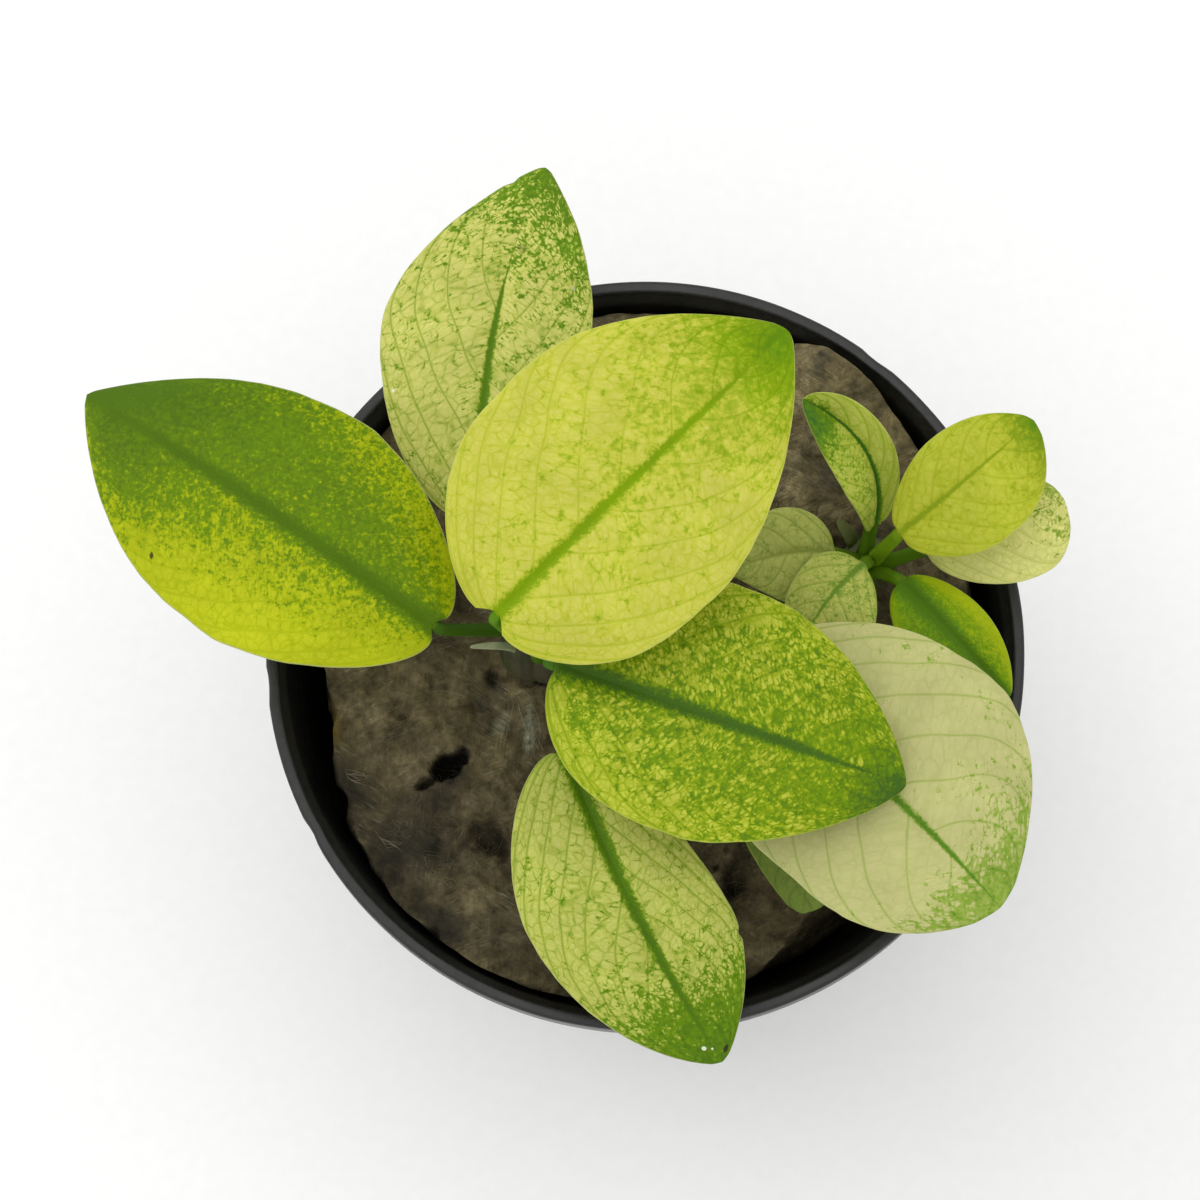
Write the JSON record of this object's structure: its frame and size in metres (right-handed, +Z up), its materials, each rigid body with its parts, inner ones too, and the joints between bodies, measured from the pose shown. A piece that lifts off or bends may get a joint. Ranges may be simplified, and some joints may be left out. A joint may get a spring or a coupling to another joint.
{
  "type": "potted anubias",
  "caption": "Small potted aquarium plant with broad, pale and green mottled leaves on a creeping rhizome, in mineral wool in a round black net pot.",
  "frame": {"origin": "centre of the pot's flat underside", "axes": "+Z up through the pot, +X towards the side shoot, -X towards the longest leaf, -Y towards the viewer's feet when looking down as in the picture"},
  "size_m": [0.0636, 0.0586, 0.07],
  "materials": {
    "pot_plastic": "moulded, slightly satin black",
    "mineral_wool": "fibrous brown-grey wool, damp",
    "rhizome_skin": "smooth green skin with leaf scars",
    "leaf_dark_green": "waxy, dark green mottled over yellow-green",
    "leaf_yellow_green": "waxy, yellow-green with green veins",
    "leaf_pale": "waxy, cream-green with green flecks",
    "leaf_olive": "waxy, olive",
    "sheath_skin": "pale grey-green skin"
  },
  "bodies": {
    "root": {"pot": "pot_plastic", "wool_plug": "mineral_wool", "rhizome_main": "rhizome_skin", "rhizome_shoot": "rhizome_skin", "leaf_left": "leaf_dark_green", "leaf_top": "leaf_pale", "leaf_centre": "leaf_yellow_green", "leaf_mottled": "leaf_dark_green", "leaf_bottom": "leaf_pale", "leaf_right": "leaf_pale", "leaf_under": "leaf_olive", "shoot_leaf_folded": "leaf_pale", "shoot_leaf_upper": "leaf_yellow_green", "shoot_leaf_outer": "leaf_pale", "shoot_leaf_dark": "leaf_dark_green", "shoot_leaf_inner": "leaf_pale", "shoot_leaf_back": "leaf_olive", "sheath_main": "sheath_skin", "sheath_shoot": "sheath_skin", "bud_shoot": "sheath_skin"}
  },
  "joints": []
}
